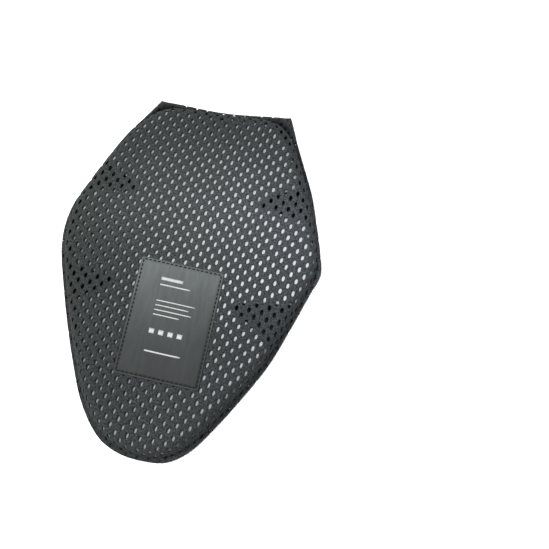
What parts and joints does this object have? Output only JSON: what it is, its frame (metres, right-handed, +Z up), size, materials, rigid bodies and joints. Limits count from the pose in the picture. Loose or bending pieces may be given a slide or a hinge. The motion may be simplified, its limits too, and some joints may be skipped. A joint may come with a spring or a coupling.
{
  "type": "elbow pad",
  "caption": "Soft elbow pad insert: a darted foam sheet held in a flat pocket of dark knitted net, with a sewn cloth label on its front.",
  "frame": {"origin": "on the table, under the middle of the pad's bounding box, on the back panel's underside", "axes": "+Z up off the table, +Y from the round tip towards the pocket's straight mouth edge, +X across the pad to the right as seen from above"},
  "size_m": [0.143, 0.208, 0.0119],
  "materials": {
    "net": "dark grey warp-knitted sports net with small oval holes, matte with a faint sheen",
    "foam": "light grey soft cellular foam, matte",
    "label": "dark grey satin label tape with a stitched border"
  },
  "bodies": {
    "root": {"cover_back": "net", "foam_insert": "foam", "cover_front": "net", "label": "label"}
  },
  "joints": []
}
